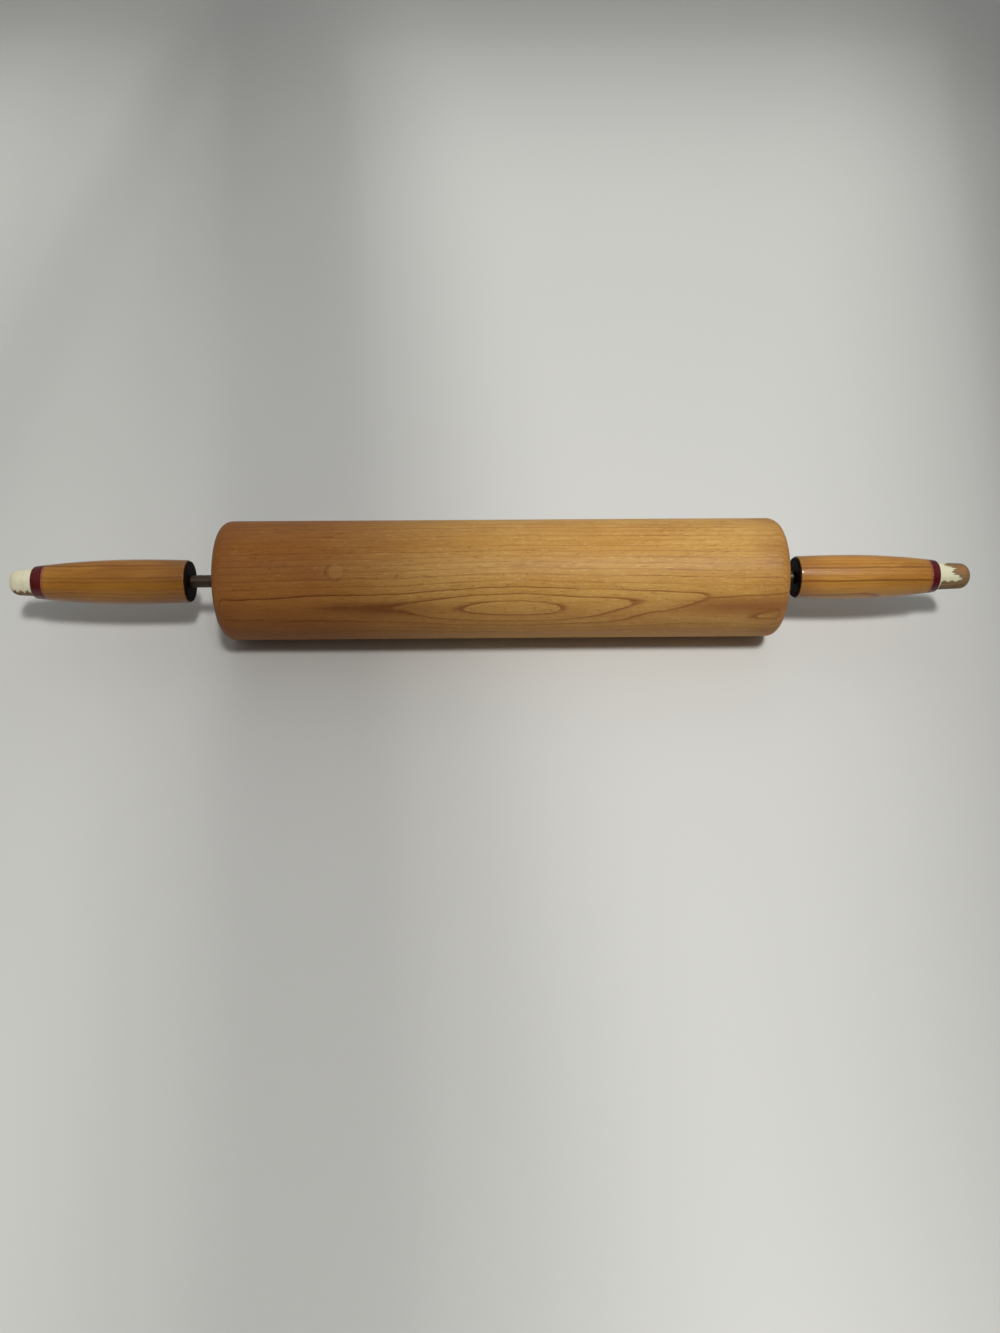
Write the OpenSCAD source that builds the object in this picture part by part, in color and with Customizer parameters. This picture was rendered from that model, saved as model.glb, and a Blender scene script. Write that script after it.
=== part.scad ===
// Wooden rolling pin with a floating barrel on a shouldered steel axle.
// The X axis is the axle, +Z is up, and the origin is the middle of the barrel on its own axis.
// The axle carries both handles. It lies a little to the left of the barrel, inside its end float.

/* [Barrel] */
// Diameter of the rolling surface
barrel_d = 57.15; // [50:0.05:64]
// Length between the two flat end faces
barrel_len = 266.7; // [230:0.1:300]
// Radius of the rounded end edges
barrel_edge_r = 5.7; // [3:0.1:8]
// Diameter of the clearance bore between the bushings
barrel_bore_d = 8; // [7:0.5:9]

/* [Bushings] */
// Outside diameter of the sleeve pressed into the barrel
bush_d = 12; // [10.5:0.5:14]
// Depth of the sleeve inside the barrel
bush_depth = 18; // [10:1:30]
// Diameter of the flange that seats on the barrel's end face
flange_d = 24; // [18:1:28]
// Thickness of the flange
flange_t = 1.5; // [1:0.25:2]
// Diameter of the hub that keeps the handle off the barrel
hub_d = 9; // [8.5:0.5:12]
// Length of the hub past the flange
hub_len = 3.5; // [3:0.5:6]

/* [Axle] */
// Diameter of the axle through the barrel
axle_d = 6; // [5.5:0.1:6.5]
// Diameter of the turned-down ends that carry the handles
journal_d = 4.8; // [4.5:0.1:5]
// Total distance that the barrel can float along the axle
end_float = 14.5; // [8:0.1:20]
// Place of the axle's middle along the barrel, inside the float
axle_shift = -3.5; // [-3.9:0.05:3.9]

/* [Handles] */
// Length of the left handle's body, without its end plug
left_body_len = 73.4; // [60:0.1:90]
// Length of the right handle's body, without its end plug
right_body_len = 68.7; // [60:0.1:90]
// Diameter at the end next to the barrel
handle_inner_d = 20.4; // [20:0.1:21]
// Largest diameter
handle_belly_d = 21.4; // [21:0.1:24]
// Diameter at the end next to the plug
handle_outer_d = 15.5; // [15.4:0.1:16.5]
// Distance from the inner end to the largest diameter
belly_pos = 25; // [20:1:35]

/* [End plugs] */
// Diameter of the plug in its counterbore
plug_d = 13.5; // [12.6:0.1:13.5]
// Diameter where the rounded nose starts
plug_nose_d = 12.5; // [11.6:0.1:12.5]
// Radius of the rounded nose
plug_nose_r = 5; // [3:0.5:5.5]
// How far the left plug stands out
left_plug_out = 11.7; // [9:0.1:18]
// How far the right plug stands out
right_plug_out = 16.3; // [9:0.1:18]

/* [Small parts] */
// Thickness of the fibre washers
fibre_t = 0.6; // [0.5:0.1:1.5]
// Diameter of the fibre washers
fibre_d = 19.2; // [17:0.1:19.6]
// Distance across the nuts' flats
nut_af = 8; // [7:0.5:9]
// Thickness of the nuts
nut_t = 4.7; // [3:0.1:5]
// Diameter of the steel washers under the nuts
nut_washer_d = 11; // [10:0.5:12]
// Thickness of the steel washers
nut_washer_t = 1; // [0.8:0.1:1.2]

/* [Hidden] */

$fn = 96;

// Fits, all radial or axial gaps per side
bush_running = 0.05;
fibre_running = 0.05;
handle_running = 0.08;
handle_end_play = 0.1;
nut_washer_gap = 0.05;

// Depths inside a handle, from its outer end
plug_seat = 12;
nut_room = 9.5;
thread_past_nut = 1.8;

chamfer = 0.6;
nut_chamfer = 0.5;
handle_edge_r = 0.6;
shoulder_r = 1;
arc_steps = 8;
curve_steps = 14;

flat_half = barrel_len / 2;
hub_end = flat_half + flange_t + hub_len;
shoulder_half = hub_end + end_float / 2;
handle_start = shoulder_half + fibre_t + handle_end_play;

// Points of a quarter arc about [x, r] of radius a, from angle a0 to a1 in degrees
function arc(x, r, a, a0, a1) = [
    for (i = [0 : arc_steps]) let (t = a0 + (a1 - a0) * i / arc_steps)
        [x + a * cos(t), r + a * sin(t)]
];

// Turns a profile of [distance along X, radius] points into a solid of revolution about X
module turned(points) {
    rotate([0, 90, 0]) rotate_extrude() polygon([for (p = points) [p[1], p[0]]]);
}

// A plain cylinder along X, from x0 to x1
module rod(d, x0, x1) {
    translate([x0, 0, 0]) rotate([0, 90, 0]) cylinder(d = d, h = x1 - x0);
}

// Places a part made for the right-hand end on one side: 1 is right, -1 is left
module at_side(side) {
    if (side > 0) children();
    else mirror([1, 0, 0]) children();
}

// Places a part of the axle assembly, which is shifted along the barrel
module on_axle(side) {
    translate([axle_shift, 0, 0]) at_side(side) children();
}

module barrel() {
    r = barrel_d / 2;
    edge = barrel_edge_r;
    seat = flat_half - bush_depth;
    color("peru") difference() {
        turned(concat(
            [[-flat_half, 0]],
            arc(edge - flat_half, r - edge, edge, 180, 90),
            arc(flat_half - edge, r - edge, edge, 90, 0),
            [[flat_half, 0]]
        ));
        rod(barrel_bore_d, -flat_half - 1, flat_half + 1);
        for (side = [-1, 1]) at_side(side) rod(bush_d, seat, flat_half + 1);
    }
}

// Flanged sleeve: pressed into the barrel, with a hub that stands out of it
module bushing() {
    sleeve = flat_half - bush_depth;
    color("darkgray") difference() {
        turned([
            [sleeve, 0],
            [sleeve, bush_d / 2],
            [flat_half, bush_d / 2],
            [flat_half, flange_d / 2],
            [flat_half + flange_t - chamfer, flange_d / 2],
            [flat_half + flange_t, flange_d / 2 - chamfer],
            [flat_half + flange_t, hub_d / 2],
            [hub_end - chamfer, hub_d / 2],
            [hub_end, hub_d / 2 - chamfer],
            [hub_end, 0]
        ]);
        rod(axle_d + 2 * bush_running, sleeve - 1, hub_end + 1);
    }
}

// Distance along the axle, from its middle, to the floor of a handle's counterbore
function nut_seat(body_len) = handle_start + body_len - plug_seat - nut_room;

// Distance along the axle to its threaded end
function axle_end(body_len) =
    nut_seat(body_len) + nut_washer_gap + nut_washer_t + nut_t + thread_past_nut;

module axle_rod() {
    left = -axle_end(left_body_len);
    right = axle_end(right_body_len);
    color("dimgray") translate([axle_shift, 0, 0]) turned([
        [left, 0],
        [left, journal_d / 2 - chamfer],
        [left + chamfer, journal_d / 2],
        [-shoulder_half, journal_d / 2],
        [-shoulder_half, axle_d / 2],
        [shoulder_half, axle_d / 2],
        [shoulder_half, journal_d / 2],
        [right - chamfer, journal_d / 2],
        [right, journal_d / 2 - chamfer],
        [right, 0]
    ]);
}

module fibre_washer() {
    edge = 0.3;
    outer = shoulder_half + fibre_t;
    color("black") difference() {
        turned([
            [shoulder_half, 0],
            [shoulder_half, fibre_d / 2 - edge],
            [shoulder_half + edge, fibre_d / 2],
            [outer, fibre_d / 2],
            [outer, 0]
        ]);
        rod(journal_d + 2 * fibre_running, shoulder_half - 1, outer + 1);
    }
}

// Radius of a handle's body at a distance x from its inner end: two parabolas that meet at the belly
function body_r(x, body_len) =
    let (
        end_d = x < belly_pos ? handle_inner_d : handle_outer_d,
        span = x < belly_pos ? belly_pos : body_len - belly_pos,
        t = (x - belly_pos) / span
    )
    (handle_belly_d - (handle_belly_d - end_d) * t * t) / 2;

// Turned wooden body with a running bore and a counterbore for the nut and the plug
module handle(body_len) {
    end = handle_start + body_len;
    first = handle_edge_r;
    last = body_len - shoulder_r;
    color("goldenrod") difference() {
        turned(concat(
            [[handle_start, 0]],
            arc(handle_start + first, body_r(first, body_len) - first, first, 180, 90),
            [
                for (i = [1 : curve_steps]) let (x = first + (last - first) * i / curve_steps)
                    [handle_start + x, body_r(x, body_len)]
            ],
            arc(end - shoulder_r, body_r(last, body_len) - shoulder_r, shoulder_r, 80, 0),
            [[end, 0]]
        ));
        rod(journal_d + 2 * handle_running, handle_start - 1, end + 1);
        rod(plug_d, nut_seat(body_len), end + 1);
    }
}

// Round-nosed plug that closes the counterbore over the nut
module end_plug(body_len, out) {
    end = handle_start + body_len;
    nose = end + out - plug_nose_r;
    color("beige") turned(concat(
        [
            [end - plug_seat, 0],
            [end - plug_seat, plug_d / 2 - chamfer],
            [end - plug_seat + chamfer, plug_d / 2],
            [end, plug_d / 2]
        ],
        arc(nose, plug_nose_d / 2 - plug_nose_r, plug_nose_r, 86, 0),
        [[end + out, 0]]
    ));
}

module nut_washer(body_len) {
    x = nut_seat(body_len) + nut_washer_gap;
    color("silver") difference() {
        rod(nut_washer_d, x, x + nut_washer_t);
        rod(journal_d + 2 * fibre_running, x - 1, x + nut_washer_t + 1);
    }
}

// Hexagon nut, chamfered on both faces
module nut(body_len) {
    x0 = nut_seat(body_len) + nut_washer_gap + nut_washer_t;
    x1 = x0 + nut_t;
    corner = nut_af / 2 / cos(30);
    color("silver") difference() {
        intersection() {
            translate([x0, 0, 0]) rotate([0, 90, 0]) cylinder(r = corner, h = nut_t, $fn = 6);
            turned([
                [x0, 0],
                [x0, corner - nut_chamfer],
                [x0 + nut_chamfer, corner],
                [x1 - nut_chamfer, corner],
                [x1, corner - nut_chamfer],
                [x1, 0]
            ]);
        }
        rod(journal_d, x0 - 1, x1 + 1);
    }
}

barrel();
at_side(-1) bushing();  // left_bushing
at_side(1) bushing();  // right_bushing
axle_rod();
on_axle(-1) fibre_washer();  // left_fibre_washer
on_axle(1) fibre_washer();  // right_fibre_washer
on_axle(-1) handle(left_body_len);  // left_handle
on_axle(1) handle(right_body_len);  // right_handle
on_axle(-1) end_plug(left_body_len, left_plug_out);  // left_end_plug
on_axle(1) end_plug(right_body_len, right_plug_out);  // right_end_plug
on_axle(-1) nut_washer(left_body_len);  // left_nut_washer
on_axle(1) nut_washer(right_body_len);  // right_nut_washer
on_axle(-1) nut(left_body_len);  // left_nut
on_axle(1) nut(right_body_len);  // right_nut
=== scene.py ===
import math

import bpy
import numpy as np
from mathutils import Matrix, Vector


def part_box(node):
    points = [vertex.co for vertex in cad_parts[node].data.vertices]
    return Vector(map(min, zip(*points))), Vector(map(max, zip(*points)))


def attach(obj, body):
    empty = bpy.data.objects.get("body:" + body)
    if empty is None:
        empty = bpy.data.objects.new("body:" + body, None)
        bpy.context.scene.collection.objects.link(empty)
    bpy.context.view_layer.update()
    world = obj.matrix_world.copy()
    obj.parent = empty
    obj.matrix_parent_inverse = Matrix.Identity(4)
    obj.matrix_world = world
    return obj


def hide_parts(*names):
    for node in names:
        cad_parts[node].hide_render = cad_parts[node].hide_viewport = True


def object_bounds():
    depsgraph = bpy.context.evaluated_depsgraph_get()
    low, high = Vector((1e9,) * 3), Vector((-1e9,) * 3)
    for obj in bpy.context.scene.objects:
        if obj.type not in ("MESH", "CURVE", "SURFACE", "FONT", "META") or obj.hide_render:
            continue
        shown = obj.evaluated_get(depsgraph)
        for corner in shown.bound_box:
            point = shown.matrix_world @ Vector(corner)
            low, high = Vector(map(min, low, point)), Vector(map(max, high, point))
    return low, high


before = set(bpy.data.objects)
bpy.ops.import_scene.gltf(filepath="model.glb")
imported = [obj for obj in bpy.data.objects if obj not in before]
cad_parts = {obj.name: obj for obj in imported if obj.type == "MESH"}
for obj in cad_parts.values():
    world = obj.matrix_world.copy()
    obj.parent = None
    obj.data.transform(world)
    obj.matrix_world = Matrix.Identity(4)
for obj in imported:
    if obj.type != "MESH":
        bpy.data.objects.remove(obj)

# A worn wooden rolling pin: a maple barrel on a steel axle, with two varnished handles that have painted
# ends. Sizes are in millimetres, and become metres when a mesh is made. The X axis is the axle.
# Angles round the axle are in degrees from +Y towards +Z. "Above" and "below" are counted from the side
# that faces the camera, which looks down at the pin from -Y. side is -1 at the left and 1 at the right.

MM = 0.001
cad_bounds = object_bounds()

# ---------------------------------------------------------------- sizes shared with the CAD model

BARREL_R = 28.575
BARREL_EDGE_R = 5.7
BARREL_BORE_R = 4.0
BUSH_R = 6.0
BUSH_DEPTH = 18.0
FLANGE_R = 12.0
FLANGE_T = 1.5
HUB_LEN = 3.5
HUB_R = 4.5
AXLE_R = 3.0
JOURNAL_R = 2.4
HANDLE_BORE_R = 2.48
HANDLE_INNER_R = 10.2
HANDLE_BELLY_R = 10.7
HANDLE_OUTER_R = 7.75
BELLY_POS = 25.0
PLUG_R = 6.75
PLUG_NOSE_R = 6.25
PLUG_SEAT = 12.0
PAINT_T = 0.09
NUT_ROOM = 9.5
# Radial gap of pieces that turn on the axle or sit in a handle, and of the bushings pressed into the barrel
FIT_GAP = 0.05
PRESS_GAP = 0.02
FLANGE_GAP = 0.01

# Two faces that meet at more than this angle have a sharp edge
SHARP_ANGLE = math.radians(40)

# ---------------------------------------------------------------- camera

LENS = 26.3
PITCH = math.radians(50)
YAW = math.radians(1.15)
ROLL = math.radians(-0.51)
# Where the middle of the pin is: ahead of the camera, and above and to the right of the line it looks along
DEPTH = 471.5
ABOVE_AXIS = 42.25
RIGHT_OF_AXIS = 1.1

# Direction from the pin to the camera, as an angle round the axle
CAMERA_SIDE = 180 - math.degrees(PITCH - math.atan2(ABOVE_AXIS, DEPTH))


def add_camera():
    forward = Vector((0, math.cos(PITCH), -math.sin(PITCH)))
    up = Vector((0, math.sin(PITCH), math.cos(PITCH)))
    swing = Matrix.Rotation(-YAW, 3, up)
    forward = swing @ forward
    right = forward.cross(up)
    place = -MM * (DEPTH * forward + ABOVE_AXIS * up + RIGHT_OF_AXIS * right)
    turn = Matrix((right, up, -forward)).transposed() @ Matrix.Rotation(ROLL, 3, "Z")
    data = bpy.data.cameras.new("camera")
    data.lens = LENS
    data.clip_start = 0.01
    camera = bpy.data.objects.new("camera", data)
    camera.matrix_world = Matrix.Translation(place) @ turn.to_4x4()
    bpy.context.scene.collection.objects.link(camera)
    bpy.context.scene.camera = camera


# ---------------------------------------------------------------- outlines and turned meshes


def box_mm(node):
    """(lowest x, highest x, largest radius) of a CAD node, in millimetres."""
    low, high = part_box(node)
    return low.x / MM, high.x / MM, high.z / MM


def ends(node, side):
    """x of a CAD node's inner and outer ends, in millimetres."""
    low, high, _ = box_mm(node)
    return (low, high) if side > 0 else (high, low)


def rounded(corners, steps=6):
    """Turns (x, r, fillet radius) corners into points, with each corner that has a radius made an arc."""
    points = []
    for i, (x, r, fillet) in enumerate(corners):
        here = Vector((x, r))
        if not fillet:
            points.append(here)
            continue
        before = (Vector(corners[i - 1][:2]) - here).normalized()
        after = (Vector(corners[(i + 1) % len(corners)][:2]) - here).normalized()
        half = before.angle(after) / 2
        centre = here + (before + after).normalized() * fillet / math.sin(half)
        start = here + before * fillet / math.tan(half) - centre
        end = here + after * fillet / math.tan(half) - centre
        for k in range(steps + 1):
            arm = start.slerp(end, k / steps).normalized() * fillet
            points.append(centre + arm)
    return points


def spaced(points, step, loop=False):
    """Adds points along each stretch so that none is longer than step(x) millimetres."""
    out = []
    pairs = zip(points, points[1:] + (points[:1] if loop else []))
    for a, b in pairs:
        count = max(1, math.ceil((b - a).length / step(min(a.x, b.x))))
        out += [a.lerp(b, k / count) for k in range(count)]
    return out if loop else out + [points[-1]]


def turned(name, points, sides, loop=False, shape=None):
    """A mesh turned round the X axis from (x, r) points in millimetres.

    With loop, the outline closes on itself round a bore. Without, it starts and ends on the axis.
    shape(x, r, angle in degrees) gives each vertex's move outwards, in millimetres.
    """
    rings = points if loop else points[1:-1]
    x = np.array([p.x for p in rings])[:, None] + np.zeros((1, sides))
    r = np.array([p.y for p in rings])[:, None] + np.zeros((1, sides))
    angle = np.arange(sides)[None, :] * 360 / sides + np.zeros((len(rings), 1))
    if shape:
        r = r + shape(x, r, angle)
    turn = np.radians(angle)
    places = np.stack([x, r * np.cos(turn), r * np.sin(turn)], axis=-1).reshape(-1, 3)
    index = np.arange(len(rings) * sides).reshape(len(rings), sides)
    if loop:
        index = np.vstack([index, index[:1]])
    a = index[:-1]
    b = index[1:]
    quads = np.stack([a, b, np.roll(b, -1, 1), np.roll(a, -1, 1)], axis=-1).reshape(-1, 4)
    faces = quads.tolist()
    if not loop:
        first, last = len(places), len(places) + 1
        places = np.vstack([places, [[points[0].x, 0, 0], [points[-1].x, 0, 0]]])
        for k in range(sides):
            after = (k + 1) % sides
            faces.append((first, int(index[0, k]), int(index[0, after])))
            faces.append((last, int(index[-1, after]), int(index[-1, k])))
    mesh = bpy.data.meshes.new(name)
    mesh.from_pydata((places * MM).tolist(), [], faces)
    mesh.validate()
    mesh.shade_smooth()
    mesh.set_sharp_from_angle(angle=SHARP_ANGLE)
    piece = bpy.data.objects.new(name, mesh)
    bpy.context.scene.collection.objects.link(piece)
    return piece


def write_attribute(piece, name, values):
    attribute = piece.data.attributes.new(name, "FLOAT", "POINT")
    attribute.data.foreach_set("value", np.asarray(values, np.float32).ravel())


def polar(piece):
    """(x, radius, angle in degrees) of each vertex, in millimetres."""
    co = np.zeros(len(piece.data.vertices) * 3)
    piece.data.vertices.foreach_get("co", co)
    x, y, z = co.reshape(-1, 3).T / MM
    return x, np.hypot(y, z), np.degrees(np.arctan2(z, y))


def above(angle):
    """Degrees above the side that faces the camera, from -180 to 180."""
    return (CAMERA_SIDE - angle + 180) % 360 - 180


def waves(seed, count, low, high):
    """A smooth random function of an angle in degrees, about -1 to 1, with no seam at 360."""
    rng = np.random.default_rng(seed)
    orders = rng.integers(low, high, count)
    phases = rng.uniform(0, 2 * math.pi, count)
    return lambda angle: sum(
        np.sin(np.radians(angle) * n + p) for n, p in zip(orders, phases)
    ) / math.sqrt(count)


def smoothstep(value, low, high):
    t = np.clip((value - low) / (high - low), 0, 1)
    return t * t * (3 - 2 * t)


def finish_piece(piece, body, slot, material, *nodes):
    piece.data.materials.append(material)
    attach(piece, body)
    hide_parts(*nodes)


# ---------------------------------------------------------------- shader nodes


class Shader:
    """A material and short calls that add nodes to it. Each call returns an output socket."""

    def __init__(self, name, **values):
        self.material = bpy.data.materials.new(name)
        self.material.use_nodes = True
        self.tree = self.material.node_tree
        self.surface = self.tree.nodes["Principled BSDF"]
        self.set(**values)

    def set(self, **values):
        for name, value in values.items():
            self.put(self.surface.inputs[name.replace("_", " ").title().replace("Ior", "IOR")], value)

    def put(self, socket, value):
        if isinstance(value, bpy.types.NodeSocket):
            self.tree.links.new(value, socket)
        elif hasattr(value, "__len__") and len(value) == 3 and socket.type == "RGBA":
            socket.default_value = (*value, 1)
        else:
            socket.default_value = value

    def add(self, kind, *inputs, **settings):
        node = self.tree.nodes.new("ShaderNode" + kind)
        for name, value in settings.items():
            setattr(node, name, value)
        for socket, value in zip(node.inputs, inputs):
            if value is not None:
                self.put(socket, value)
        return node

    def math(self, operation, a, b=None, c=None):
        return self.add("Math", a, b, c, operation=operation).outputs[0]

    def step(self, value, low, high, start=0.0, end=1.0):
        node = self.add("MapRange", value, low, high, start, end, interpolation_type="SMOOTHSTEP")
        return node.outputs[0]

    def mix(self, share, a, b, blend="MIX"):
        node = self.add("Mix", data_type="RGBA", blend_type=blend)
        self.put(node.inputs["Factor"], share)
        self.put(node.inputs[6], a)
        self.put(node.inputs[7], b)
        return node.outputs[2]

    def place(self, scale=(1, 1, 1), shift=(0, 0, 0), turn=0):
        """Object coordinates in millimetres, times scale, turned back by an angle round X, then moved."""
        node = self.add("Mapping", self.add("TexCoord").outputs["Object"])
        node.inputs["Scale"].default_value = [s / MM for s in scale]
        node.inputs["Rotation"].default_value[0] = -math.radians(turn)
        node.inputs["Location"].default_value = shift
        return node.outputs[0]

    def swell(self, point, at, size):
        """A smooth hill, 1 at its middle and 0 outside an ellipsoid of the given half-sizes."""
        node = self.add("Mapping", point)
        node.inputs["Scale"].default_value = [1 / v for v in size]
        node.inputs["Location"].default_value = [-a / v for a, v in zip(at, size)]
        ball = self.add("TexGradient", node.outputs[0], gradient_type="SPHERICAL").outputs[1]
        return self.step(ball, 0.0, 1.0)

    def total(self, *values):
        out = values[0]
        for value in values[1:]:
            out = self.math("ADD", out, value)
        return out

    def centred(self, value, size):
        """Turns a 0 to 1 value into one from -size to size."""
        return self.math("MULTIPLY_ADD", value, 2 * size, -size)

    def split(self, vector):
        return self.add("SeparateXYZ", vector).outputs

    def noise(self, vector, detail=2.0, roughness=0.5):
        node = self.add("TexNoise")
        self.put(node.inputs["Vector"], vector)
        self.put(node.inputs["Scale"], 1.0)
        self.put(node.inputs["Detail"], detail)
        self.put(node.inputs["Roughness"], roughness)
        return node.outputs[0]

    def chance(self, number):
        """A random value from 0 to 1 for each whole part of a number."""
        node = self.add("TexWhiteNoise", noise_dimensions="1D")
        self.put(node.inputs["W"], self.math("FLOOR", number))
        return node.outputs["Value"]

    def attribute(self, name):
        return self.add("Attribute", attribute_name=name).outputs["Fac"]

    def curve(self, value, points):
        """A smooth curve through (place from 0 to 1, height from 0 to 1) points."""
        node = self.add("FloatCurve")
        self.put(node.inputs["Value"], value)
        line = node.mapping.curves[0]
        line.points[0].location = points[0]
        line.points[1].location = points[-1]
        for point in points[1:-1]:
            line.points.new(*point)
        node.mapping.update()
        return node.outputs[0]

    def bump(self, height, distance):
        node = self.add("Bump")
        self.put(node.inputs["Height"], height)
        self.put(node.inputs["Distance"], distance * MM)
        self.put(node.inputs["Strength"], 1.0)
        return node.outputs[0]


# ---------------------------------------------------------------- barrel wood

# Round the axle, the side of the barrel where its growth rings lie flat against the surface
FIGURE_SIDE = CAMERA_SIDE + 28
# The tree's centre is this far behind the axle
PITH_DEPTH = 55.0
# Distance between rings along the surface, and how far noise moves them, as a share of that
RING_SPACING = 2.73
RING_WANDER = 0.17
# The rings' figure is drawn over this length on each side of the barrel's middle
FIGURE_HALF = 134.0
LINE_BROWN = (0.165, 0.048, 0.012)


def barrel_rings(s, middle, extra):
    """Growth rings as a solid texture.

    middle is the ring number along the flat line, which changes along the wood. extra(point) gives values
    that are added to it.
    Returns (ring count, place below the flat line).
    """
    point = s.place(turn=FIGURE_SIDE)
    _, out, below = s.split(point)
    deep = s.math("ADD", out, PITH_DEPTH)
    far = s.math("SQRT", s.math("MULTIPLY_ADD", deep, deep, s.math("MULTIPLY", below, below)))
    under = s.math("MAXIMUM", s.math("SUBTRACT", BARREL_R + PITH_DEPTH, far), 0.0)
    spread = 2 * BARREL_R * (PITH_DEPTH + BARREL_R) / PITH_DEPTH / RING_SPACING**2
    base = s.math("SQRT", s.math("MULTIPLY_ADD", under, spread, s.math("MULTIPLY", middle, middle)))
    slow = s.noise(s.place((0.015, 0.045, 0.045), (3, 1, 2)), detail=1.0)
    quick = s.noise(s.place((0.06, 0.16, 0.16), (7, 3, 1)), detail=2.0)
    rough = s.noise(s.place((0.35, 0.8, 0.8), (2, 5, 1)), detail=2.0)
    count = s.total(
        base, s.centred(slow, RING_WANDER * 1.6), s.centred(quick, RING_WANDER),
        s.centred(rough, RING_WANDER * 0.22), *extra(point))
    return count, below


def barrel_figure(s, x):
    """The rings' pattern, as (dark lines, brown shade beside them, place below the flat line)."""
    along = s.add("MapRange", x, -FIGURE_HALF, FIGURE_HALF, 0.0, 1.0).outputs[0]
    # The ring number along the flat line, as a share of 6. Where it dips, a ring closes into a long loop.
    dips = s.curve(along, [
        (0.0, 0.58), (0.10, 0.56), (0.20, 0.52), (0.27, 0.49), (0.335, 0.46), (0.373, 0.40), (0.425, 0.31),
        (0.47, 0.24), (0.527, 0.21), (0.58, 0.24), (0.623, 0.31), (0.67, 0.345), (0.73, 0.39), (0.78, 0.425),
        (0.84, 0.48), (0.89, 0.50), (0.95, 0.49), (1.0, 0.52),
    ])
    middle = s.math("MULTIPLY", dips, 6.0)

    def extra(point):
        hump = s.swell(point, (78, 28, 3), (50, 14, 10))
        end = s.swell(point, (118, 28, -1.5), (46, 14, 9))
        return (s.math("MULTIPLY", hump, 1.25), s.math("MULTIPLY", end, 1.35))

    count, below = barrel_rings(s, middle, extra)
    across = s.math("FRACT", count)
    # The innermost rings have the darkest lines
    near = s.step(count, 5.2, 4.2)
    strength = s.math("MULTIPLY_ADD", s.chance(count), 0.35, 0.10)
    strength = s.math("MAXIMUM", strength, s.math("MULTIPLY", near, 0.70))
    broken = s.noise(s.place((0.035, 0.3, 0.3), (2, 9, 4)), detail=2.0)
    strength = s.math("MULTIPLY", strength, s.step(broken, 0.28, 0.55, 0.30, 1.0))
    edge = s.math("MULTIPLY", s.step(across, 0.0, 0.035), s.step(across, 0.24, 0.05))
    fade = s.math("POWER", s.math("SUBTRACT", 1.0, across), 2.5)
    line = s.math("MULTIPLY", edge, strength)
    shade = s.math("MULTIPLY", fade, s.math("MULTIPLY_ADD", near, 0.26, 0.10))
    return line, shade, below


def barrel_grain(s, fibre, hair, cloud, figure):
    """The colour of the wood between its ring lines."""
    fleck = s.noise(s.place((0.30, 1.25, 1.25), (3, 1, 8)), detail=1.0)
    colour = s.mix(s.step(cloud, 0.35, 0.65), (0.52, 0.272, 0.064), (0.57, 0.325, 0.088))
    colour = s.mix(s.step(figure, 0.45, 0.75, 0.0, 0.25), colour, (0.44, 0.215, 0.056))
    colour = s.mix(s.step(fibre, 0.46, 0.72, 0.0, 0.42), colour, (0.35, 0.160, 0.036))
    colour = s.mix(s.step(fibre, 0.42, 0.22, 0.0, 0.45), colour, (0.72, 0.46, 0.17))
    colour = s.mix(s.step(hair, 0.52, 0.75, 0.0, 0.30), colour, (0.31, 0.135, 0.034))
    colour = s.mix(s.step(fleck, 0.62, 0.72, 0.0, 0.35), colour, (0.74, 0.50, 0.21))
    return s.mix(s.step(fleck, 0.36, 0.27, 0.0, 0.45), colour, (0.22, 0.09, 0.026))


def barrel_red(s, colour, x, below):
    """Darker, redder colour below the flat line on the lower side, two redder patches on the line, and a
    sharp line near the right end.
    """
    red = s.math("MULTIPLY", s.step(below, -7.0, 5.0), s.step(below, 28.0, 18.0))
    colour = s.mix(s.math("MULTIPLY", red, 0.30), colour, (0.29, 0.105, 0.030))
    # One patch lies towards the right end, and one at the loops' left tips
    grown = s.place(turn=FIGURE_SIDE)
    patches = (((112, 28, -0.3), (54, 14, 7.5), 0.80), ((-52, 28, -0.5), (46, 14, 6.5), 0.50))
    for at, size, share in patches:
        patch = s.swell(grown, at, size)
        colour = s.mix(s.math("MULTIPLY", patch, share), colour, (0.24, 0.082, 0.024))
    # The line runs from the loops' right tip to the end, and isn't on the end face
    slope = s.math("MULTIPLY_ADD", x, 0.045, s.math("ADD", below, 0.45))
    sway = s.centred(s.noise(s.place((0.08, 0.1, 0.1), (4, 4, 1)), detail=2.0), 0.9)
    away = s.math("ABSOLUTE", s.math("ADD", slope, sway))
    last = s.math("MULTIPLY", s.step(away, 0.75, 0.15), s.step(x, 84.0, 100.0))
    last = s.math("MULTIPLY", last, s.step(s.split(grown)[1], 20.0, 26.0))
    return s.mix(s.math("MULTIPLY", last, 0.55), colour, LINE_BROWN)


def barrel_knot(s, colour, figure):
    """A small round knot, paler than the wood round it, with a broken dark edge and a tick to its left."""
    point = s.place(turn=CAMERA_SIDE - 8)
    knot = s.swell(point, (-76, 28.5, 0), (7.2, 7.2, 7.2))
    ring = s.math("MULTIPLY", s.step(knot, 0.16, 0.40), s.step(knot, 0.68, 0.45))
    ring = s.math("MULTIPLY", ring, s.step(figure, 0.40, 0.62, 0.05, 0.45))
    tick = s.swell(point, (-80.6, 28.5, 0.6), (1.4, 5.0, 2.6))
    colour = s.mix(s.step(knot, 0.30, 0.75, 0.0, 0.40), colour, (0.66, 0.40, 0.13))
    return s.mix(s.math("MAXIMUM", ring, s.math("MULTIPLY", tick, 0.5)), colour, (0.20, 0.075, 0.020))


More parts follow.
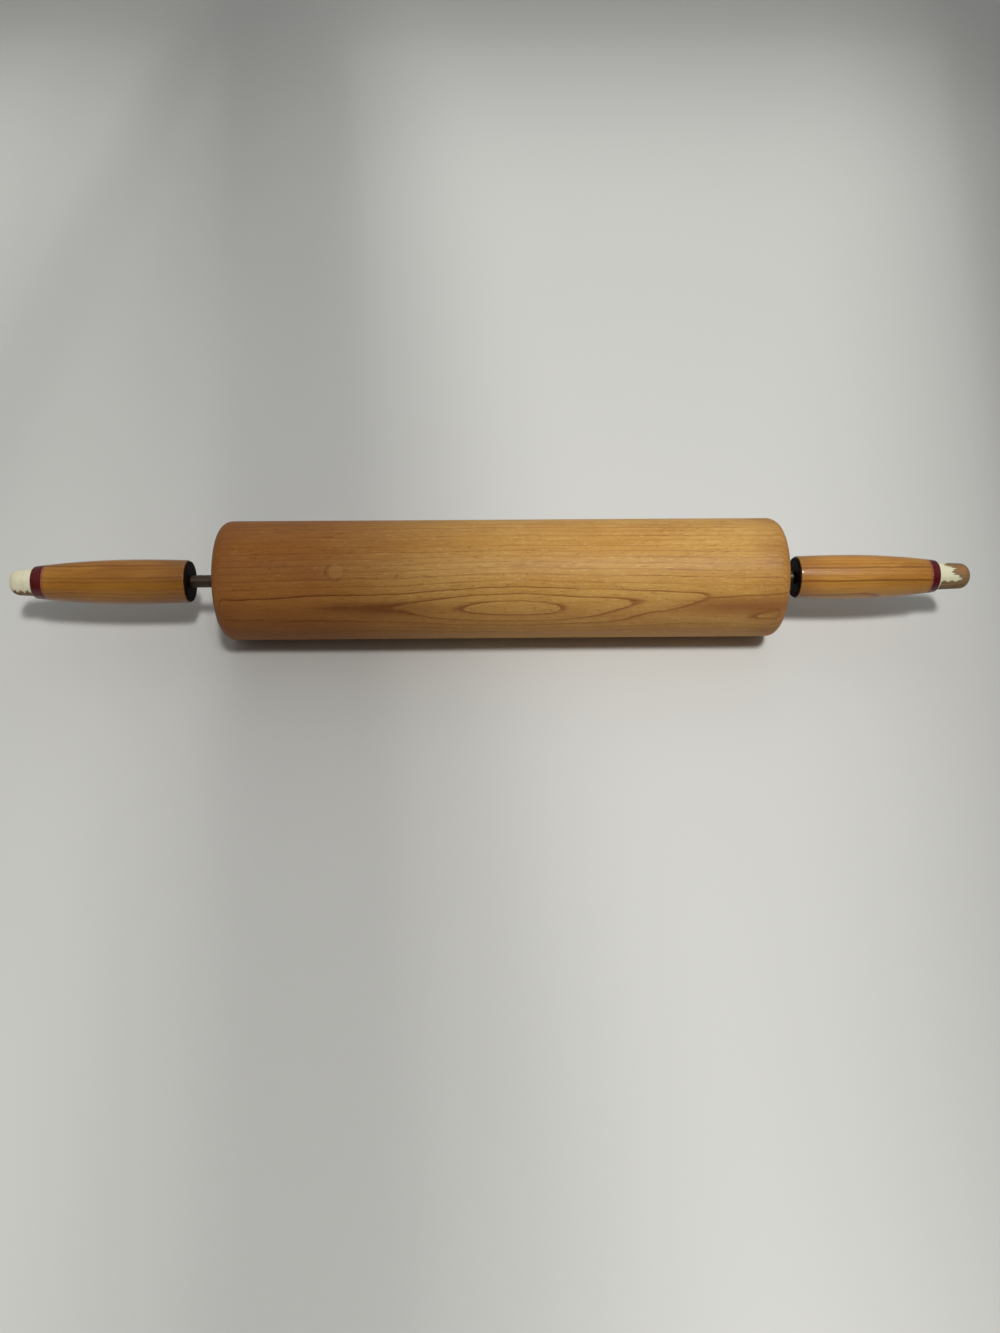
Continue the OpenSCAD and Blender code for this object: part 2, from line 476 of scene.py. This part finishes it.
def barrel_shade_and_grime(s, colour, x):
    """Painted shade darkens the whole left side, standing in for the fibre sheen that brightens the right and
    the shade on the left; handling has left both ends redder.
    """
    # Painted shade: the wood colour is multiplied darker towards the left end
    colour = s.mix(s.step(x, 4.0, -100.0), colour, (0.64, 0.46, 0.36), "MULTIPLY")
    grime = s.noise(s.place((0.05, 0.08, 0.08), (1, 2, 3)), detail=3.0)
    reach = s.math("MULTIPLY_ADD", grime, 22.0, s.math("ABSOLUTE", x))
    return s.mix(s.step(reach, 122.0, 146.0, 0.0, 0.45), colour, (0.22, 0.072, 0.020))


def barrel_material():
    s = Shader("barrel_wood", specular_ior_level=0.13, coat_weight=0.03, coat_roughness=0.35)
    x = s.split(s.place())[0]
    line, shade, below = barrel_figure(s, x)
    fibre = s.noise(s.place((0.045, 0.70, 0.70)), detail=3.0, roughness=0.65)
    hair = s.noise(s.place((0.16, 2.6, 2.6), (6, 2, 2)), detail=2.0)
    cloud = s.noise(s.place((0.012, 0.04, 0.04), (5, 5, 5)), detail=2.0)
    figure = s.noise(s.place((0.13, 0.10, 0.10), (8, 5, 1)), detail=2.0)
    colour = barrel_grain(s, fibre, hair, cloud, figure)
    colour = s.mix(shade, colour, (0.27, 0.085, 0.018))
    colour = s.mix(line, colour, LINE_BROWN)
    colour = barrel_red(s, colour, x, below)
    colour = barrel_knot(s, colour, figure)
    colour = barrel_shade_and_grime(s, colour, x)
    wear = s.step(cloud, 0.3, 0.7, 0.44, 0.56)
    height = s.total(
        s.math("MULTIPLY", fibre, 0.6), s.math("MULTIPLY", hair, 0.4), s.math("MULTIPLY", line, -0.6))
    s.set(base_color=colour, roughness=wear, normal=s.bump(height, 0.05))
    return s.material


# ---------------------------------------------------------------- other materials


def handle_lines(s, turn, luck, strong, front):
    """Straight growth rings, as (dark lines, brown shade beside them).

    front holds x, the distance out towards the camera, and the distance below the side that faces it.
    """
    _, out, below = s.split(s.place(turn=turn))
    sway = s.centred(s.noise(s.place((0.012, 0.05, 0.05), (luck, 3, 1)), detail=1.0), 1.3)
    tremor = s.centred(s.noise(s.place((0.05, 0.2, 0.2), (luck, 1, 5)), detail=2.0), 0.28)
    count = s.total(s.math("MULTIPLY_ADD", below, 0.52, luck), s.math("MULTIPLY", out, 0.10), sway, tremor)
    across = s.math("FRACT", count)
    strength = s.step(s.chance(count), 0.25, 1.0, 0.12, 1.0)
    edge = s.math("MULTIPLY", s.step(across, 0.0, 0.06), s.step(across, 0.30, 0.08))
    fade = s.math("POWER", s.math("SUBTRACT", 1.0, across), 2.0)
    broken = s.noise(s.place((0.03, 0.4, 0.4), (2, luck, 4)), detail=2.0)
    line = s.math("MULTIPLY", s.math("MULTIPLY", edge, strength), s.step(broken, 0.3, 0.55, 0.35, 1.0))
    height = s.math("MULTIPLY_ADD", sway, 0.45, s.math("MULTIPLY_ADD", tremor, 1.5, front[2]))
    for at, width in strong:
        away = s.math("ABSOLUTE", s.math("SUBTRACT", height, at))
        dark_line = s.math("MULTIPLY", s.step(away, width, width * 0.15), s.step(front[1], 0.0, 2.0))
        dark_line = s.math("MULTIPLY", dark_line, s.step(broken, 0.25, 0.5, 0.55, 1.25))
        line = s.math("MAXIMUM", line, dark_line)
    return line, s.math("MULTIPLY", s.math("MULTIPLY", fade, strength), 0.35)


def handle_paint(s, colour):
    """The maroon band, its red fringe and the dark inner rim, where the mesh's own attributes say."""
    patch = s.noise(s.place((0.4, 0.5, 0.5), (1, 7, 5)), detail=2.0)
    grit = s.noise(s.place((2.2, 2.2, 2.2)), detail=2.0)
    paint = s.math("MULTIPLY_ADD", grit, 0.16, s.attribute("paint"))
    fringe = s.step(s.attribute("fringe"), 0.3, 0.9, 0.0, 0.65)
    colour = s.mix(fringe, colour, (0.27, 0.085, 0.045))
    maroon = s.mix(s.step(patch, 0.35, 0.7), (0.100, 0.0055, 0.0070), (0.072, 0.0030, 0.0055))
    colour = s.mix(s.step(paint, 0.52, 0.62), colour, maroon)
    return s.mix(s.attribute("rim"), colour, (0.016, 0.005, 0.004))


def handle_material(name, tone, turn, luck, inner, inner_shade, strong):
    """Amber varnished wood.

    tone is its pale, deep and dark colour, turn the side that the rings meet at the steepest angle, and luck
    a number that shifts the noise. inner is the distance of its inner end from the middle of the pin, and
    inner_shade the length and the share of the painted shade there, beside the disc and the gap. strong lists
    the darkest lines by their height below the side that faces the camera and their width, in millimetres.
    """
    s = Shader(name, specular_ior_level=0.2, coat_weight=0.34, coat_roughness=0.10)
    front = s.split(s.place(turn=CAMERA_SIDE))
    line, shade = handle_lines(s, turn, luck, strong, front)
    fibre = s.noise(s.place((0.035, 0.9, 0.9), (4, luck, 2)), detail=3.0, roughness=0.65)
    hair = s.noise(s.place((0.1, 2.8, 2.8), (4, luck, 2)), detail=2.0)
    cloud = s.noise(s.place((0.02, 0.09, 0.09), (9, luck, 6)), detail=2.0)
    pale, deep, dark = tone
    length, share = inner_shade
    colour = s.mix(s.step(cloud, 0.35, 0.65), pale, deep)
    colour = s.mix(s.step(fibre, 0.44, 0.70, 0.0, 0.55), colour, deep)
    colour = s.mix(s.step(hair, 0.52, 0.72, 0.0, 0.35), colour, dark)
    # Painted shade: darker on the lower side, which faces away from the light
    colour = s.mix(s.step(front[2], 0.5, 5.0, 0.0, 0.30), colour, deep)
    # Painted shade: darker near the inner end, beside the black disc and the gap to the barrel
    colour = s.mix(s.step(s.math("ABSOLUTE", front[0]), inner + length, inner, 0.0, share), colour, dark)
    colour = s.mix(shade, colour, dark)
    colour = s.mix(s.math("MULTIPLY", line, 0.5), colour, dark)
    colour = handle_paint(s, colour)
    relief = s.total(s.math("MULTIPLY", fibre, 0.5), s.math("MULTIPLY", line, -0.6))
    s.set(base_color=colour, roughness=s.step(fibre, 0.3, 0.7, 0.30, 0.42), normal=s.bump(relief, 0.035))
    return s.material


def plug_material(name, shift, patch_at):
    """Cream paint over bare wood, which shows where the mesh's paint attribute is low.

    shift moves the noise, and patch_at is the middle of one redder patch of the wood.
    """
    s = Shader(name, specular_ior_level=0.3)
    paint = s.attribute("paint")
    speck = s.noise(s.place((1.6, 1.6, 1.6), shift), detail=3.0)
    covered = s.step(s.math("ADD", paint, s.math("MULTIPLY", speck, 0.10)), 0.52, 0.60)
    fibre = s.noise(s.place((0.16, 3.0, 3.0), shift), detail=3.0, roughness=0.6)
    cloud = s.noise(s.place((0.25, 0.25, 0.25), shift), detail=2.0)
    wood = s.mix(s.step(fibre, 0.35, 0.7), (0.29, 0.180, 0.080), (0.145, 0.085, 0.036))
    patch = s.swell(s.place(turn=CAMERA_SIDE), patch_at, (4.6, 5.0, 4.0))
    wood = s.mix(s.math("MULTIPLY", patch, 0.9), wood, (0.36, 0.145, 0.048))
    cream = s.mix(s.step(cloud, 0.3, 0.7), (0.78, 0.74, 0.53), (0.71, 0.66, 0.44))
    cream = s.mix(s.step(speck, 0.62, 0.75, 0.0, 0.5), cream, (0.36, 0.29, 0.16))
    edge = s.math("MULTIPLY", s.step(paint, 0.5, 0.62), s.step(paint, 0.80, 0.64))
    cream = s.mix(s.math("MULTIPLY", edge, 0.45), cream, (0.33, 0.24, 0.12))
    colour = s.mix(covered, wood, cream)
    rough = s.step(covered, 0.0, 1.0, 0.62, 0.36)
    height = s.math("ADD", s.math("MULTIPLY", fibre, 0.4), s.math("MULTIPLY", speck, 0.2))
    s.set(base_color=colour, roughness=rough, normal=s.bump(height, 0.03))
    return s.material


def fibre_material():
    s = Shader("black_fibre", specular_ior_level=0.03)
    streak = s.noise(s.place((1.0, 0.35, 1.6), (2, 2, 2)), detail=3.0)
    colour = s.mix(s.step(streak, 0.4, 0.75), (0.0040, 0.0028, 0.0024), (0.018, 0.009, 0.006))
    s.set(base_color=colour, roughness=s.step(streak, 0.3, 0.7, 0.42, 0.6), normal=s.bump(streak, 0.03))
    return s.material


def axle_material():
    s = Shader("axle_steel", specular_ior_level=0.5)
    mottle = s.noise(s.place((0.5, 0.7, 0.7)), detail=4.0, roughness=0.65)
    pits = s.noise(s.place((1.8, 2.4, 2.4), (3, 3, 3)), detail=3.0)
    rust = s.step(mottle, 0.44, 0.62)
    colour = s.mix(rust, (0.075, 0.055, 0.038), (0.048, 0.026, 0.014))
    colour = s.mix(s.step(pits, 0.58, 0.70), colour, (0.03, 0.02, 0.015))
    s.set(base_color=colour, roughness=s.step(mottle, 0.4, 0.65, 0.34, 0.62),
          metallic=s.step(rust, 0.0, 1.0, 0.8, 0.3), normal=s.bump(pits, 0.05))
    return s.material


def plated_material():
    s = Shader("plated_steel", metallic=0.9, specular_ior_level=0.5)
    bloom = s.noise(s.place((0.35, 0.35, 0.35)), detail=4.0, roughness=0.6)
    turning = s.noise(s.place((2.0, 0.5, 0.5), (1, 1, 1)), detail=2.0)
    colour = s.mix(s.step(bloom, 0.42, 0.68), (0.46, 0.45, 0.42), (0.27, 0.24, 0.20))
    s.set(base_color=colour, roughness=s.step(bloom, 0.35, 0.7, 0.36, 0.58), normal=s.bump(turning, 0.03))
    return s.material


# ---------------------------------------------------------------- pieces


def add_barrel():
    left, right, radius = box_mm("barrel")
    corners = [
        (left, BUSH_R, 0.3), (left, radius, BARREL_EDGE_R), (right, radius, BARREL_EDGE_R),
        (right, BUSH_R, 0.3), (right - BUSH_DEPTH, BUSH_R, 0), (right - BUSH_DEPTH, BARREL_BORE_R, 0),
        (left + BUSH_DEPTH, BARREL_BORE_R, 0), (left + BUSH_DEPTH, BUSH_R, 0),
    ]
    outline = spaced(rounded(corners, steps=14), lambda x: 1.7, loop=True)
    rng = np.random.default_rng(11)
    # Each dent or nick is (x, angle, size, depth). Nicks lie along both end edges.
    dents = [(rng.uniform(left, right), rng.uniform(0, 360), rng.uniform(0.8, 3.2), rng.uniform(0.04, 0.16))
             for _ in range(90)]
    nicks = [(side * (right - rng.uniform(0.5, 4.5)), rng.uniform(0, 360), rng.uniform(1.0, 3.0),
              rng.uniform(0.1, 0.35)) for side in (-1, 1) for _ in range(14)]
    lean = waves(3, 5, 2, 7)

    def shape(x, r, angle):
        outside = smoothstep(r, 12.0, 20.0)
        move = -0.06 * (1 + lean(angle + 0.3 * x)) * outside
        for at_x, at_angle, size, depth in dents + nicks:
            across = np.radians((angle - at_angle + 180) % 360 - 180) * radius
            away = ((x - at_x) ** 2 + across**2) / size**2
            move = move - outside * depth * np.exp(-away * 2)
        return move

    piece = turned("barrel_wood", outline, 240, loop=True, shape=shape)
    finish_piece(piece, "barrel", "barrel_wood", barrel_material(), "barrel")


def handle_radius(along, length):
    """Radius of a handle's body at a distance from its inner end, the CAD model's two parabolas."""
    near = along < BELLY_POS
    end = HANDLE_INNER_R if near else HANDLE_OUTER_R
    span = BELLY_POS if near else length - BELLY_POS
    t = (along - BELLY_POS) / span
    return HANDLE_BELLY_R - (HANDLE_BELLY_R - end) * t * t


def handle_outline(inner, outer, side, band):
    """Closed outline of a handle's section, with the hole for its plug, and finer near its band."""
    length = abs(outer - inner)
    body = [(inner + side * t, handle_radius(t, length), 0)
            for t in np.linspace(1.5, length - 1.6, 30)]
    room_end = outer - side * (PLUG_SEAT + NUT_ROOM)
    corners = [
        (inner, HANDLE_BORE_R, 0.2), (inner, HANDLE_INNER_R, 0.7), *body,
        (outer, HANDLE_OUTER_R, 1.0), (outer, PLUG_R, 0), (room_end, PLUG_R, 0), (room_end, HANDLE_BORE_R, 0),
    ]
    band_end = outer - side * (band + 2)
    low, high = sorted((band_end, outer))

    def step(x):
        return 0.14 if low - 0.5 < x < high + 0.5 else 0.8

    return spaced(rounded(corners), step, loop=True)


def paint_handle(piece, inner, outer, side, band, seed):
    """Writes where the handle has its maroon band, the band's fringe and the dark rim."""
    x, r, angle = polar(piece)
    ripple = waves(seed + 1, 8, 3, 40)(angle)
    from_end = (outer - x) * side
    outside = r > PLUG_R + 0.2
    # The band is scuffed through on its lower side
    worn = smoothstep(np.abs(above(angle) + 64), 16, 6) * smoothstep(from_end, band + 1, band - 1.5)
    scuff = 0.5 + 0.5 * waves(seed + 2, 9, 12, 60)(angle + 9 * from_end)
    paint = smoothstep(from_end, band + 0.18 * ripple + 0.12, band + 0.18 * ripple - 0.12)
    write_attribute(piece, "paint", paint * outside * (1 - worn * np.clip(scuff, 0, 1)))
    write_attribute(piece, "fringe", smoothstep(from_end, band + 1.6, band + 0.9) * outside)
    write_attribute(piece, "rim", 0.9 * smoothstep((x - inner) * side, 0.5 + 0.1 * ripple, 0.15))


def add_handle(name, node, side, band, tone, turn, luck, seed, inner_shade, strong):
    """band is the length of the maroon band. handle_material explains tone, turn, luck, inner_shade and
    strong.
    """
    inner, outer = ends(node, side)
    lean = waves(seed, 5, 2, 6)

    def shape(x, r, angle):
        outside = smoothstep(r, 7.0, 7.4)
        return -0.04 * (1 + lean(angle + 0.7 * x)) * outside

    piece = turned(name, handle_outline(inner, outer, side, band), 224, loop=True, shape=shape)
    paint_handle(piece, inner, outer, side, band, seed)
    material = handle_material(name, tone, turn, luck, abs(inner), inner_shade, strong)
    finish_piece(piece, node, "handle_wood", material, node)


def add_plug(name, node, body, side, bare, patch):
    """A round-nosed dowel. bare(distance from handle, degrees above, degrees) is 1 where paint is gone."""
    inner, tip = ends(node, side)
    seat = inner + side * PLUG_SEAT
    corners = [
        (inner, 0, 0), (inner, PLUG_R - FIT_GAP, 0.6), (seat, PLUG_R - FIT_GAP, 0),
        (tip - side * 5.0, PLUG_NOSE_R, 0), (tip, PLUG_NOSE_R, 4.6), (tip, 0, 0),
    ]

    def step(x):
        return 0.13 if (x - seat) * side > -0.3 else 1.5

    def gone(x, angle):
        return bare((x - seat) * side, above(angle), angle)

    def shape(x, r, angle):
        return -PAINT_T * gone(x, angle) * smoothstep(r, 0.2, 1.0)

    piece = turned(name, spaced(rounded(corners, steps=24), step), 240, shape=shape)
    x, _, angle = polar(piece)
    write_attribute(piece, "paint", 1 - gone(x, angle))
    finish_piece(piece, body, "cream_painted_wood", plug_material(name, (side * 11.0, 4, 2), patch), node)


def left_bare():
    """Nearly all the paint is left, apart from a strip along the lower side and a small loss behind.

    t is the distance from the handle in millimetres, and facing the degrees above the camera's side.
    """
    jag = waves(21, 9, 5, 60)
    tooth = waves(22, 7, 20, 90)

    def bare(t, facing, angle):
        uneven = 6 * np.sin(t * 2.1) + 4 * np.sin(t * 5.3 + 1) + 3 * np.sin(t * 11 + 2)
        strip = smoothstep(facing + uneven, -40, -43) * smoothstep(facing + uneven, -112, -104)
        behind = smoothstep(np.abs(facing - 150) + 5 * jag(angle), 26, 20)
        back = behind * smoothstep(t + tooth(angle), 5.0, 5.6)
        # The tip itself has kept its paint
        off_tip = smoothstep(t + 0.7 * tooth(angle), 10.4, 10.1)
        return np.clip(strip * smoothstep(t, -0.1, 0.1) + back, 0, 1) * off_tip

    return bare


def right_bare():
    """The outer end and the lower side have lost their paint, with a ragged edge."""
    jag = waves(31, 8, 3, 14)
    tooth = waves(33, 9, 14, 60)

    def bare(t, facing, angle):
        reach = 8.5 - 5.0 * np.sin(np.radians(facing)) + 1.1 * jag(angle) + 0.9 * tooth(angle)
        tip = smoothstep(t, reach - 0.1, reach + 0.1)
        uneven = 3 * np.sin(t * 1.7 + 1) + 2 * np.sin(t * 6.1)
        below = smoothstep(facing + uneven, -21, -24) * smoothstep(facing + uneven, -150, -142)
        return np.clip(tip + below * smoothstep(t, 0.6, 0.9), 0, 1)

    return bare


def add_bushing(name, node, side, material):
    end = ends(node, side)[1]
    face = end - side * (FLANGE_T + HUB_LEN)
    sleeve = face - side * BUSH_DEPTH
    bore = AXLE_R + FIT_GAP
    back = face + side * FLANGE_GAP
    corners = [
        (sleeve, bore, 0.2), (sleeve, BUSH_R - PRESS_GAP, 0.4), (back, BUSH_R - PRESS_GAP, 0),
        (back, FLANGE_R, 0.2), (face + side * FLANGE_T, FLANGE_R, 0.6),
        (face + side * FLANGE_T, HUB_R, 0.8), (end, HUB_R, 0.6), (end, bore, 0.3),
    ]
    outline = spaced(rounded(corners), lambda x: 1.5, loop=True)
    finish_piece(turned(name, outline, 128, loop=True), "barrel", "plated_steel", material, node)


def add_washer(name, node, side, material):
    inner, outer = ends(node, side)
    radius = box_mm(node)[2]
    bore = JOURNAL_R + FIT_GAP
    corners = [(inner, bore, 0.1), (inner, radius, 0.28), (outer, radius, 0.1), (outer, bore, 0.1)]
    outline = spaced(rounded(corners, steps=5), lambda x: 0.8, loop=True)
    finish_piece(turned(name, outline, 160, loop=True), "thrust_washers", "black_fibre", material, node)


def add_axle():
    low, high, radius = box_mm("axle_rod")
    left_shoulder = box_mm("left_fibre_washer")[1]
    right_shoulder = box_mm("right_fibre_washer")[0]
    corners = [
        (low, 0, 0), (low, JOURNAL_R, 0.6), (left_shoulder, JOURNAL_R, 0), (left_shoulder, radius, 0.2),
        (right_shoulder, radius, 0.2), (right_shoulder, JOURNAL_R, 0), (high, JOURNAL_R, 0.6), (high, 0, 0),
    ]
    outline = spaced(rounded(corners, steps=5), lambda x: 0.8)
    lean = waves(8, 6, 3, 12)

    def shape(x, r, angle):
        return 0.012 * (lean(angle + 31 * x) - 1) * (r > JOURNAL_R + 0.3)

    piece = turned("axle_steel", outline, 96, shape=shape)
    finish_piece(piece, "axle", "axle_steel", axle_material(), "axle_rod")


# ---------------------------------------------------------------- stage


# The stage is in metres
STAGE_HALF = 6.0
LIGHT_PLACE = Vector((0.58, -1.04, 3.16))
CARD_HEIGHT = 0.8
FAR_CARD_HEIGHT = 1.6


def add_floor():
    z = cad_bounds[0][2]
    corners = [(x * STAGE_HALF, y * STAGE_HALF, z) for x, y in ((-1, -1), (1, -1), (1, 1), (-1, 1))]
    mesh = bpy.data.meshes.new("floor")
    mesh.from_pydata(corners, [], [(0, 1, 2, 3)])
    floor = bpy.data.objects.new("floor", mesh)
    bpy.context.scene.collection.objects.link(floor)
    s = Shader("floor", roughness=0.5, specular_ior_level=0.3)
    s.set(base_color=(0.615, 0.61, 0.575))
    mesh.materials.append(s.material)


def add_area(name, place, size, power):
    data = bpy.data.lights.new(name, "AREA")
    data.size = size
    data.energy = power
    light = bpy.data.objects.new(name, data)
    light.location = place
    light.rotation_euler = (-Vector(place)).to_track_quat("-Z", "Y").to_euler()
    bpy.context.scene.collection.objects.link(light)


def add_card(name, height, outline):
    """A card that nothing sees, held at a height. Its shadow from the ceiling light has this outline."""
    floor_z = cad_bounds[0][2]
    share = (LIGHT_PLACE.z - height) / (LIGHT_PLACE.z - floor_z)
    corners = [LIGHT_PLACE.lerp(Vector((x, y, floor_z)), share) for x, y in outline]
    mesh = bpy.data.meshes.new(name)
    mesh.from_pydata(corners, [], [range(len(corners))])
    card = bpy.data.objects.new(name, mesh)
    card.visible_camera = False
    card.visible_glossy = False
    card.visible_diffuse = False
    bpy.context.scene.collection.objects.link(card)
    mesh.materials.append(Shader(name + "_board", base_color=(0.2, 0.2, 0.2)).material)


def add_cards():
    """Three strips along Y and one across the far side give the table the uneven light of the photo."""
    near_y, far_y = -0.27, 0.85
    # Each strip's left and right edges, near the camera and far from it
    strips = (
        ("left_card", (-0.102, -0.030), (-0.277, -0.147)),
        ("far_left_card", (-0.33, -0.28), (-0.33, -0.28)),
        ("right_card", (0.19, STAGE_HALF), (0.49, STAGE_HALF)),
    )
    for name, near, far in strips:
        left = [(near[0], -STAGE_HALF), (near[0], near_y), (far[0], far_y), (far[0], STAGE_HALF)]
        right = [(far[1], STAGE_HALF), (far[1], far_y), (near[1], near_y), (near[1], -STAGE_HALF)]
        add_card(name, CARD_HEIGHT, left + right)
    edge = 0.83
    add_card("far_card", FAR_CARD_HEIGHT, [
        (-STAGE_HALF, edge), (STAGE_HALF, edge), (STAGE_HALF, STAGE_HALF), (-STAGE_HALF, STAGE_HALF)])


def add_sky():
    """A sky that is brightest overhead and dims towards the camera's side."""
    world = bpy.data.worlds.new("world")
    world.use_nodes = True
    nodes, links = world.node_tree.nodes, world.node_tree.links
    lean = nodes.new("ShaderNodeVectorMath")
    lean.operation = "DOT_PRODUCT"
    lean.inputs[1].default_value = (0, 0.4, 0.92)
    links.new(nodes.new("ShaderNodeTexCoord").outputs["Generated"], lean.inputs[0])
    ramp = nodes.new("ShaderNodeMapRange")
    ramp.inputs["To Min"].default_value = 0.06
    ramp.inputs["To Max"].default_value = 0.40
    links.new(lean.outputs["Value"], ramp.inputs["Value"])
    background = nodes["Background"]
    background.inputs["Color"].default_value = (0.98, 0.99, 1.0, 1)
    links.new(ramp.outputs[0], background.inputs["Strength"])
    bpy.context.scene.world = world


def add_light():
    """A ceiling light with a small lamp in it, a dim wall behind, the sky and the cards."""
    add_area("ceiling", LIGHT_PLACE, 0.55, 85)
    add_area("lamp", LIGHT_PLACE, 0.07, 6)
    add_area("wall", (0.0, 3.4, 2.4), 2.4, 15)
    add_sky()
    bpy.context.scene.view_settings.view_transform = "Standard"
    add_cards()


# ---------------------------------------------------------------- the object

add_camera()
add_barrel()
plated = plated_material()
black = fibre_material()
for side, word in ((-1, "left"), (1, "right")):
    add_bushing(word + "_bushing_turned", word + "_bushing", side, plated)
    add_washer(word + "_black_disc", word + "_fibre_washer", side, black)
add_axle()
add_handle(
    "left_handle_wood", "left_handle", -1, band=5.6,
    tone=((0.43, 0.188, 0.026), (0.31, 0.122, 0.015), (0.125, 0.038, 0.005)),
    turn=CAMERA_SIDE + 10, luck=3.3, seed=41, inner_shade=(44.0, 0.40), strong=[(-7.6, 0.5)])
add_handle(
    "right_handle_wood", "right_handle", 1, band=4.1,
    tone=((0.53, 0.250, 0.044), (0.41, 0.175, 0.028), (0.15, 0.046, 0.008)),
    turn=CAMERA_SIDE - 8, luck=7.7, seed=51, inner_shade=(14.0, 0.34), strong=[(-4.3, 0.75), (1.9, 0.75)])
add_plug("left_nub", "left_end_plug", "left_handle", -1, left_bare(), (-224, 3, -9))
add_plug("right_nub", "right_end_plug", "right_handle", 1, right_bare(), (223, 6, -3.2))
for word in ("left", "right"):
    for kind in ("_nut", "_nut_washer"):
        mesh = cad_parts[word + kind].data
        mesh.materials.clear()
        mesh.materials.append(plated)
add_floor()
add_light()
